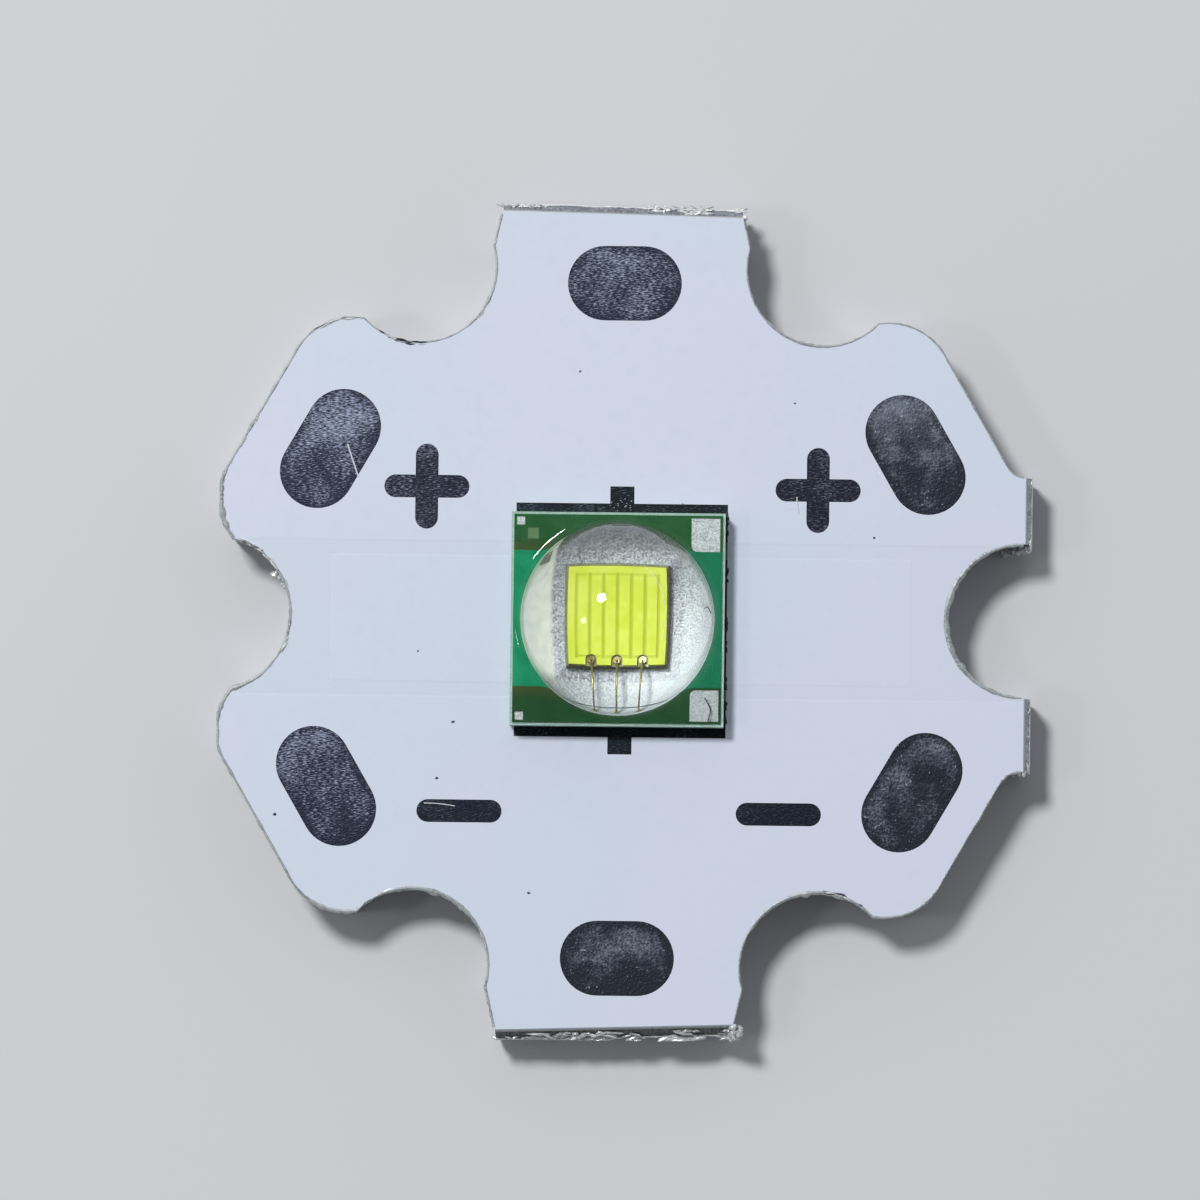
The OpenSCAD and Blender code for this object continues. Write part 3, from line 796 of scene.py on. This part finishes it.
class Heap:
    """Small bits of one material, gathered into one mesh that keeps inside the box of the solids."""

    def __init__(self, name):
        self.name = name
        self.verts = []
        self.faces = []

    def add(self, points, faces):
        """Takes in one bit."""
        first = len(self.verts)
        self.verts += points
        self.faces += [tuple(first + corner for corner in face) for face in faces]

    def tube(self, path, radii, sides=6):
        """A tube along a path, with a radius for each point and closed ends."""
        points = []
        for place, point in enumerate(path):
            run = path[min(place + 1, len(path) - 1)] - path[max(place - 1, 0)]
            across = run.cross(Vector((0, 0, 1))).normalized()
            up = across.cross(run).normalized()
            ring = []
            for turn in range(sides):
                angle = 2 * math.pi * turn / sides
                ring.append(point + radii[place] * (across * math.cos(angle) + up * math.sin(angle)))
            points += into_box(ring)
        faces = [tuple(range(sides)), tuple(reversed(range(len(points) - sides, len(points))))]
        self.add(points, faces + bands(len(path), sides))

    def lump(self, centre, size):
        """A crumpled lump with three half sizes, turned a little and dented at random."""
        rings = 5
        sides = 8
        most_turn = 0.5
        shapes = 100
        dents = 1.6
        dent_depth = 0.8
        turn = Matrix.Rotation(chance.uniform(-most_turn, most_turn), 3, "Z")
        shape = Vector([chance.uniform(0, shapes) for _ in range(3)])
        points = []
        for ring in range(rings + 1):
            slope = math.pi * ring / rings
            flat = math.sin(slope)
            for side in range(sides):
                angle = 2 * math.pi * side / sides
                way = Vector((flat * math.cos(angle), flat * math.sin(angle), math.cos(slope)))
                far = 1 + dent_depth * noise.noise(way * dents + shape)
                points.append(centre + turn @ Vector([far * w * s for w, s in zip(way, size)]))
        faces = [tuple(range(sides)), tuple(reversed(range(rings * sides, (rings + 1) * sides)))]
        self.add(into_box(points), faces + bands(rings + 1, sides))

    def finish(self, material):
        return piece(self.name, self.verts, self.faces, material, smooth_angle=40)


def ragged(spot, size):
    """A factor for the radius of a torn bead at a spot, which changes over a size."""
    thinnest = 0.6
    swell = 0.9
    return thinnest + swell * abs(noise.noise(spot / size))


# Clumps on the lips of the snapped edges: start, end and half height, in millimetres
TOP_CLUMPS = [
    (-2.85, -1.85, 0.08),
    (0.66, 0.94, 0.11),
    (1.24, 1.43, 0.15),
    (1.5, 1.92, 0.13),
    (2.6, 2.86, 0.06),
]
BOTTOM_CLUMPS = [
    (-2.8, -1.9, 0.06),
    (-1.9, -0.1, 0.13),
    (0.3, 0.6, 0.09),
    (1.2, 1.95, 0.13),
    (2.5, 2.8, 0.12),
]
UPPER_SIDE_CLUMPS = [(1.7, 1.95, 0.08), (2.5, 2.6, 0.03), (3.3, 3.45, 0.04)]
LOWER_SIDE_CLUMPS = [(-3.5, -3.3, 0.08), (-2.6, -2.3, 0.03), (-2.05, -1.85, 0.04)]


def lip(side, sign):
    """Points along the outer lip of a snapped edge, where the sign of y is the given one."""
    depth = score_depth(side)
    reach = flank_reach(board_top / 2, depth) - flank_reach(core_high.z, depth)
    points = [point + side * reach for point, _, snap in edge if snap == side and point.y * sign >= 0]
    level = board_top - depth
    points.sort(key=lambda point: point.y if side.x else point.x)
    return [Vector((point.x, point.y, level)) for point in points]


def bead(heap, side, sign):
    """A ragged bead of torn metal along a lip, and the path of its middle."""
    thickness = 0.026 * MM
    rag = 0.11 * MM
    sway = 0.02 * MM
    bend = 0.2 * MM
    path = []
    radii = []
    for point in lip(side, sign):
        aside = side * sway * noise.noise(point / bend)
        path.append(point - Vector((aside.x, aside.y, -thickness)))
        radii.append(thickness * ragged(point, rag))
    heap.tube(path, radii)
    return path


def torn_lip(heap, side, sign, clumps):
    """The bead along a lip, with lumps where it is thicker."""
    path = bead(heap, side, sign)
    inward = Vector((-side.x, -side.y, 0))
    pitch = 0.02
    for start, end, height in clumps:
        places = [spot for spot in path if start * MM <= (spot.y if side.x else spot.x) <= end * MM]
        for _ in range(int((end - start) / pitch)):
            size = height * MM * chance.uniform(0.2, 0.6)
            aside = height * MM * chance.uniform(-1.0, 1.0)
            spot = chance.choice(places) + inward * aside
            spot.z += max(0.0, aside) / FLANK_SLOPE
            length = size * chance.uniform(1.0, 4.5)
            width = size * 0.6
            high = size * 0.7
            heap.lump(spot, (width, length, high) if side.x else (length, width, high))


def edge_run(start, end):
    """The stretch of the board's edge between the points nearest to two places in millimetres."""
    nearest = []
    for place in (start, end):
        spot = Vector(place) * MM
        nearest.append(min(range(len(edge)), key=lambda index: (edge[index][0] - spot).length))
    first, last = nearest
    forward = (last - first) % len(edge)
    back = (first - last) % len(edge)
    indices = range(first, first + forward + 1) if forward < back else range(last, last + back + 1)
    return [edge[index % len(edge)] for index in indices]


# Radius of the rolled edge where it faces the viewer, the left and elsewhere, and the size of its rags
RIM_FRONT = 0.06 * MM
RIM_LEFT = 0.05 * MM
RIM_ELSEWHERE = 0.03 * MM
RIM_RAG = 0.25 * MM
# How far it stands out and lies below the face, as shares of its radius
RIM_STAND = 0.2
RIM_SUNK = 0.6
# Stretches where it is thicker: two places and a radius in millimetres, and how far it stands out
WIDE_RIMS = [
    ((9.2, 1.8), (9.2, -2.0), 0.1, 0.3),
    ((-5.9, -6.5), (-3.2, -7.4), 0.08, 0.3),
    ((-7.6, -6.3), (-5.9, -6.6), 0.07, 0.1),
    ((3.1, -7.4), (5.6, -6.6), 0.08, 0.3),
    ((-9.35, 3.7), (-9.0, 1.7), 0.08, -0.4),
    ((-8.2, -1.0), (-9.35, -2.7), 0.07, -0.4),
    ((3.3, 7.4), (5.7, 6.6), 0.05, 0.2),
]


def punched_runs():
    """The stretches of the board's edge that lie between the snapped ones."""
    first = next(index for index, (_, _, side) in enumerate(edge) if side)
    runs = [[]]
    for point, out, side in edge[first:] + edge[:first]:
        if not side:
            runs[-1].append((point, out))
        elif runs[-1]:
            runs.append([])
    return [run for run in runs if len(run) > 2]


def rim_tube(heap, run, radii, stand):
    """A ragged bead along a stretch of the edge, which stands out by a share of its radius."""
    path = []
    torn = []
    for (point, out), even in zip(run, radii):
        radius = even * ragged(Vector((point.x, point.y, 0)), RIM_RAG)
        spot = point + out * stand * radius
        path.append(Vector((spot.x, spot.y, board_top - RIM_SUNK * radius)))
        torn.append(radius)
    heap.tube(path, torn, sides=8)


def swelling(count):
    """Factors that rise fast from both ends of a row, to 1 in its middle."""
    power = 0.4
    return [math.sin(math.pi * (place + 1) / (count + 1)) ** power for place in range(count)]


def rolled_rim():
    """The rounded edge that the punch left around the board."""
    heap = Heap("rolled_rim")
    for run in punched_runs():
        radii = [max(RIM_ELSEWHERE, -out.y * RIM_FRONT, -out.x * RIM_LEFT) for _, out in run]
        rim_tube(heap, run, radii, RIM_STAND)
    for start, end, radius, stand in WIDE_RIMS:
        run = [(point, out) for point, out, side in edge_run(start, end) if not side]
        rim_tube(heap, run, [radius * MM * factor for factor in swelling(len(run))], stand)
    heap.finish(plain_metal("rolled aluminium"))


# Frayed stretches of the edge: two places, strands, spread and radius in millimetres, share that is dull
FRAYED = [
    ((-5.75, 6.68), (-4.3, 6.4), 22, 0.06, 0.018, 0.45),
    ((-7.2, 6.6), (-6.15, 7.18), 12, 0.04, 0.016, 0.15),
    ((-3.6, 6.9), (-3.3, 7.25), 4, 0.03, 0.014, 0.3),
    ((-9.05, 1.8), (-7.8, 0.55), 26, 0.05, 0.018, 0.4),
    ((-3.1, 8.95), (-3.1, 8.55), 3, 0.03, 0.014, 0.0),
    ((-9.1, 3.3), (-7.5, 6.2), 20, 0.02, 0.01, 0.0),
    ((4.3, -6.2), (5.7, -6.6), 12, 0.05, 0.016, 0.3),
    ((-6.1, -6.9), (-5.0, -6.45), 8, 0.04, 0.014, 0.2),
    ((-7.9, -0.35), (-8.1, -0.85), 8, 0.06, 0.022, 0.0),
]


def strand(heap, run, aside, level, radius):
    """A torn strand beside a stretch of the edge, which rises and is thickest in its middle."""
    rise = 0.02 * MM
    sway = 0.025 * MM
    bend = 0.15 * MM
    thin_end = 0.25
    path = []
    radii = []
    for place, (point, out, _) in enumerate(run):
        bulge = math.sin(math.pi * place / (len(run) - 1))
        off = aside + sway * noise.noise(Vector((point.x, point.y, aside)) / bend)
        spot = point + out * off
        path.append(Vector((spot.x, spot.y, level + rise * bulge)))
        radii.append(radius * (thin_end + (1 - thin_end) * bulge))
    heap.tube(path, radii, sides=5)


def frayed_edges(bright, dark):
    """Torn strands that lie along the edge of the board, bright or dull."""
    fewest = 3
    most = 9
    for start, end, count, spread, radius, dull_share in FRAYED:
        run = edge_run(start, end)
        longest = max(fewest + 1, min(most, len(run) // 2))
        for _ in range(count):
            length = chance.randint(fewest, longest)
            first = chance.randint(0, max(0, len(run) - length))
            aside = chance.uniform(-spread, 0.5 * spread) * MM
            level = board_top + chance.uniform(-0.03, 0.01) * MM
            heap = dark if chance.random() < dull_share else bright
            strand(heap, run[first : first + length], aside, level, radius * MM)


# Crumbs of torn metal: place, level below the face and half size, in millimetres
CRUMBS = [
    ((2.77, 9.41), 0.1, 0.07),
    ((2.8, 9.28), 0.15, 0.05),
    ((2.72, -9.4), 0.1, 0.1),
    ((2.79, -9.5), 0.2, 0.12),
    ((2.76, -9.64), 0.35, 0.12),
    ((2.66, -9.66), 0.5, 0.09),
    ((9.34, 1.8), 0.5, 0.1),
    ((9.46, 1.82), 0.6, 0.1),
    ((9.24, 1.78), 0.9, 0.09),
    ((9.06, 1.79), 1.45, 0.1),
    ((8.9, 1.74), 1.5, 0.09),
    ((9.4, -3.42), 0.15, 0.08),
    ((9.3, -3.46), 0.25, 0.06),
    ((9.15, -3.48), 0.25, 0.05),
    ((-8.05, 1.02), 0.1, 0.09),
    ((-7.95, 0.95), 0.1, 0.06),
    ((-7.86, 0.72), 0.1, 0.07),
]


def crumbs(heap):
    """Torn crumbs, each of several lumps that drift apart."""
    lumps = 5
    drift = 0.6
    for (x, y), below, size in CRUMBS:
        for _ in range(lumps):
            off = Vector([chance.uniform(-drift, drift) * size for _ in range(3)])
            spot = Vector((x, y, board_top / MM - below)) + off
            half = Vector([size * chance.uniform(0.4, 0.9) for _ in range(3)])
            heap.lump(spot * MM, half * MM)


def torn_metal():
    """All that was torn up along the edges of the board."""
    bright = Heap("bright_burrs")
    dark = Heap("dull_burrs")
    torn_lip(bright, TOP, 1, TOP_CLUMPS)
    torn_lip(bright, BOTTOM, -1, BOTTOM_CLUMPS)
    torn_lip(bright, RIGHT, 1, UPPER_SIDE_CLUMPS)
    torn_lip(bright, RIGHT, -1, LOWER_SIDE_CLUMPS)
    frayed_edges(bright, dark)
    crumbs(bright)
    bright.finish(plain_metal("torn aluminium"))
    dark.finish(plain_metal("dull aluminium"))


def dome_height(spot):
    """Height of the silicone's surface at a place in plan."""
    away = math.hypot(spot.x - package.x, spot.y - package.y)
    if away >= foot_end:
        return sheet_top
    if away >= DOME_R * math.sin(foot_start_angle):
        return sheet_top + FOOT_R - math.sqrt(FOOT_R**2 - (foot_end - away) ** 2)
    return dome_centre + math.sqrt(DOME_R**2 - away**2)


def fibre(heap, places, radius, level):
    """A thin hair bent smoothly through places in millimetres, at a level or else on the silicone."""
    steps = 8
    lift = 0.9 * radius * MM
    spots = [Vector(place) * MM for place in places]
    spots = [2 * spots[0] - spots[1], *spots, 2 * spots[-1] - spots[-2]]
    path = []
    for first in range(len(spots) - 3):
        a, b, c, d = spots[first : first + 4]
        for step in range(steps + (first == len(spots) - 4)):
            t = step / steps
            bend = (2 * a - 5 * b + 4 * c - d) * t**2 + (3 * b - a - 3 * c + d) * t**3
            spot = b + ((c - a) * t + bend) / 2
            height = level or dome_height(spot)
            path.append(Vector((spot.x, spot.y, height + lift)))
    heap.tube(path, [radius * MM] * len(path), sides=5)


def fibres(heap, rows, level=None):
    """All fibres of a list, at a level or else on the silicone."""
    for places, radius in rows:
        fibre(heap, places, radius, level)


# Hairs, fibres and scratches as places in plan and a radius, in millimetres
HAIRS_ON_SILICONE = [
    ([(1.976, -1.82), (2.107, -2.1), (2.053, -2.39)], 0.014),
    ([(1.95, 0.2), (2.02, 0.25), (2.1, 0.12)], 0.012),
]
HAIRS_ON_BOARD = [([(1.4, 2.75), (1.45, 2.66), (1.53, 2.56)], 0.008)]
FIBRES_ON_SILICONE = [
    ([(0.55, 1.13), (0.84, 0.8), (1.02, 0.35), (1.05, -0.12), (0.98, -0.58)], 0.006),
    ([(1.2, 0.65), (1.36, 0.4), (1.4, 0.2)], 0.005),
]
SCRATCHES_ON_TIN = [
    ([(-6.41, 4.035), (-6.28, 3.66), (-6.15, 3.277)], 0.018),
    ([(-4.53, -4.3), (-4.2, -4.31), (-3.81, -4.36)], 0.012),
]
SCRATCHES_ON_BOARD = [
    ([(4.06, 2.92), (4.07, 2.74), (4.1, 2.54)], 0.013),
    ([(3.92, 2.67), (3.97, 2.67), (4.01, 2.65)], 0.008),
]
# Specks on the lacquer, and upper and lower ends of flux beside the emitter, in millimetres
SPECKS = [(-4.235, -3.714), (-3.878, -2.407), (-2.065, -6.364), (-4.71, -0.765)]
SPECKS += [(3.99, 5.1), (-1.017, 5.79), (-7.99, -4.6), (5.87, 1.99)]
FLUX = [(2.52, 1.94), (1.29, 0.94), (0.08, -0.69), (-1.27, -1.56), (-1.9, -2.37)]


def dark_dirt():
    """Dark hairs, flat specks and long bits of flux that lie on the part."""
    speck = Vector((1.3, 1.0, 0.4))
    bit = Vector((1.0, 2.5, 0.5))
    flux_x = 2.44
    spread = 0.03
    pitch = 0.03
    heap = Heap("dark_hairs")
    fibres(heap, HAIRS_ON_SILICONE)
    fibres(heap, HAIRS_ON_BOARD, board_top)
    for x, y in SPECKS:
        size = chance.uniform(0.02, 0.035) * MM
        heap.lump(Vector((x * MM, y * MM, board_top)), size * speck)
    for high, low in FLUX:
        for _ in range(int((high - low) / pitch)):
            size = chance.uniform(0.015, 0.03) * MM
            x = flux_x + chance.uniform(-spread, spread)
            y = chance.uniform(low, high)
            heap.lump(Vector((x * MM, y * MM, board_top)), size * bit)
    heap.finish(plain_solid("dark dirt"))


def light_dirt():
    """Light fibres and scratches, and dust on the strip above the emitter."""
    count = 16
    grain = Vector((1.8, 1.0, 1.0))
    heap = Heap("light_fibres")
    fibres(heap, FIBRES_ON_SILICONE)
    fibres(heap, SCRATCHES_ON_TIN, tin_top)
    fibres(heap, SCRATCHES_ON_BOARD, board_top)
    for _ in range(count):
        size = chance.uniform(0.004, 0.01) * MM
        x = chance.uniform(-0.32, 0.22)
        y = chance.uniform(2.55, 2.84)
        heap.lump(Vector((x * MM, y * MM, tin_top)), size * grain)
    heap.finish(plain_solid("light dust"))


# Materials on the parts that stay as they are


def dress(material, *nodes):
    """Gives parts a material in place of their own."""
    for node in nodes:
        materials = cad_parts[node].data.materials
        materials.clear()
        materials.append(material)


# The lean of each pad in degrees, and what its tone gains at its bottom and at its top as painted light and
# shade
SCUFFED_PADS = [
    ("upper_left_pad", 60, (-0.1, 0.03)),
    ("top_pad", 0, (-0.05, -0.01)),
    ("lower_left_pad", -60, (-0.09, 0.01)),
]
CLOUDY_PADS = [
    ("upper_right_pad", -60, (-0.5, 0.2)),
    ("bottom_pad", 0, (-0.3, -0.2)),
    ("lower_right_pad", 60, (-0.36, -0.16)),
]


def dress_pads():
    """Scuffed tin on the pads at the left and top, cloudy tin on the others."""
    dark_scuffed = srgb(44, 49, 63)
    light_scuffed = srgb(158, 167, 190)
    bareness = 0.05
    for pad, lean, gains in SCUFFED_PADS:
        dress(speckled_tin(tin_name(pad), dark_scuffed, light_scuffed, bareness, pad, lean, gains), pad)
    dark_cloudy = srgb(54, 61, 71)
    light_cloudy = srgb(116, 123, 137)
    glint = srgb(196, 204, 212)
    for pad, lean, gains in CLOUDY_PADS:
        dress(clouded_tin(dark_cloudy, light_cloudy, glint, pad, lean, gains), pad)


def dress_board():
    """The marks, strips, lacquer and layers of the board."""
    plus_tin = speckled_tin("plus tin", srgb(40, 44, 56), srgb(134, 141, 160), bareness=-0.03)
    minus_tin = speckled_tin("minus tin", srgb(36, 43, 53), srgb(98, 106, 122), bareness=-0.03)
    strip_tin = speckled_tin("strip tin", srgb(32, 40, 46), srgb(104, 114, 122), bareness=-0.06)
    copper = plain_metal("copper")
    dress(white_lacquer(), "solder_mask")
    dress(plus_tin, "plus_mark_left", "plus_mark_right")
    dress(minus_tin, "minus_mark_left", "minus_mark_right")
    dress(strip_tin, "positive_strip_tin", "negative_strip_tin")
    dress(plain_solid("insulation"), "dielectric_layer")
    dress(copper, "positive_copper", "negative_copper", "heat_spreader_copper")
    dress(copper, "positive_vias", "negative_vias")


def dress_emitter():
    """The emitter with its solder, lands, chips and wires."""
    silver = grainy_silver("silver", srgb(136, 142, 145), srgb(186, 193, 194))
    dress(plain_metal("solder"), "positive_solder", "negative_solder", "heat_solder")
    dress(plain_metal("gold land"), "positive_land", "negative_land", "heat_land")
    dress(plain_solid("ceramic"), "ceramic_body")
    dress(silver, "chip_metal", "negative_band")
    dress(green_lacquer(), "green_mask")
    dress(plain_solid("chip"), "led_die")
    dress(phosphor(), "phosphor_coat")
    dress(plain_solid("dark chip"), "protection_chip")
    dress(plain_metal("gold wire"), "bond_wire_left", "bond_wire_middle", "bond_wire_right")


# Stage

FLOOR_HALF = 0.6
FLOOR_DARK = (0.66, 0.67, 0.69, 1)
FLOOR_LIGHT = (0.7, 0.71, 0.73, 1)

# Distance of the lamps from the emitter, and each one's name, direction, width and power
LAMP_DISTANCE = 0.35
LAMPS = [
    ("bright lamp", (-0.31, 0.37, 0.87), 0.066, 0.8),
    ("weak lamp", (-0.64, -0.08, 0.76), 0.04, 0.06),
]

ROOM_COLOUR = (0.94, 0.97, 1.0, 1)


def floor():
    """A plain pale floor."""
    paint = new_paint("floor")
    clouds = paint.grain(30 * MM)
    paint.shade(Base_Color=paint.mix(clouds, FLOOR_DARK, FLOOR_LIGHT), Roughness=0.8)
    mesh = bpy.data.meshes.new("floor")
    signs = [(-1, -1), (1, -1), (1, 1), (-1, 1)]
    mesh.from_pydata([(FLOOR_HALF * x, FLOOR_HALF * y, 0) for x, y in signs], [], [(0, 1, 2, 3)])
    mesh.materials.append(paint.material)
    ground = put("floor", mesh)


def lamp(name, direction, width, power):
    """A round soft lamp that points at the emitter."""
    data = bpy.data.lights.new(name, "AREA")
    data.shape = "DISK"
    data.size = width
    data.energy = power
    thing = put(name, data)
    way = Vector(direction).normalized()
    thing.location = package + way * LAMP_DISTANCE
    thing.rotation_euler = way.to_track_quat("Z", "Y").to_euler()


def room():
    """A room that is darker overhead and towards the viewer."""
    world = bpy.data.worlds.new("room")
    bpy.context.scene.world = world
    paint = Painter(world, "Background", "Generated")
    _, y, z = paint.axes()
    overhead = paint.fit(z, 0.6, 1.0, low=0.48, high=0.16)
    before = paint.fit(y, -0.6, 0.2, low=0.35, high=1.0)
    paint.shade(Color=ROOM_COLOUR, Strength=paint.sum("MULTIPLY", overhead, before))


def camera():
    """The camera at the photo's angle."""
    data = bpy.data.cameras.new("camera")
    data.sensor_width = SENSOR_WIDTH
    data.lens = SENSOR_WIDTH * VIEW_DISTANCE / PICTURE_WIDTH
    data.clip_start = 0.05
    data.clip_end = 5
    thing = put("camera", data)
    back = Vector((LEAN_RIGHT, -LEAN_DOWN, 1)).normalized()
    right = Vector((math.cos(TURN), math.sin(TURN), 0))
    right = (right - back * right.dot(back)).normalized()
    up = back.cross(right)
    aim = Vector((0, 0, board_top)) - right * OFF_CENTRE_RIGHT + up * OFF_CENTRE_DOWN
    turn = Matrix((right, up, back)).transposed().to_4x4()
    thing.matrix_world = Matrix.Translation(aim + back * VIEW_DISTANCE) @ turn
    bpy.context.scene.camera = thing


dress_pads()
dress_board()
dress_emitter()
torn_core()
soft_solder()
clear_lens()
rolled_rim()
torn_metal()
dark_dirt()
light_dirt()
floor()
for row in LAMPS:
    lamp(*row)
room()
camera()
bpy.context.scene.view_settings.view_transform = "Standard"
